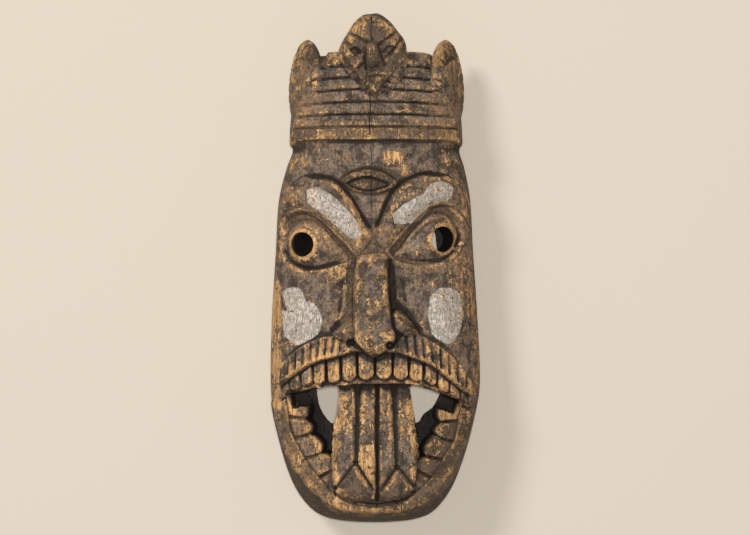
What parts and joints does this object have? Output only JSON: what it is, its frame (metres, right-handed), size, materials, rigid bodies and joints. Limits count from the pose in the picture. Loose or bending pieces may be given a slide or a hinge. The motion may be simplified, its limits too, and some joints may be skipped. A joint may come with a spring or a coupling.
{
  "type": "carved wooden mask",
  "caption": "Tall carved wooden mask with a fierce three-eyed face, bared fangs, long tongue and banded leaf crown, in worn dark and pale paint, lying on its hollow back",
  "frame": {"origin": "middle of the bounding box in X and Y, on the ground that the back rim rests on", "axes": "+Z out of the face, +Y from the chin to the crown, +X to the right of the face as it is seen from the front"},
  "size_m": [0.253, 0.6134, 0.1368],
  "materials": {
    "worn_painted_wood": "worn matt paint over bare wood"
  },
  "bodies": {
    "root": {"carved_mask": "worn_painted_wood"}
  },
  "joints": []
}
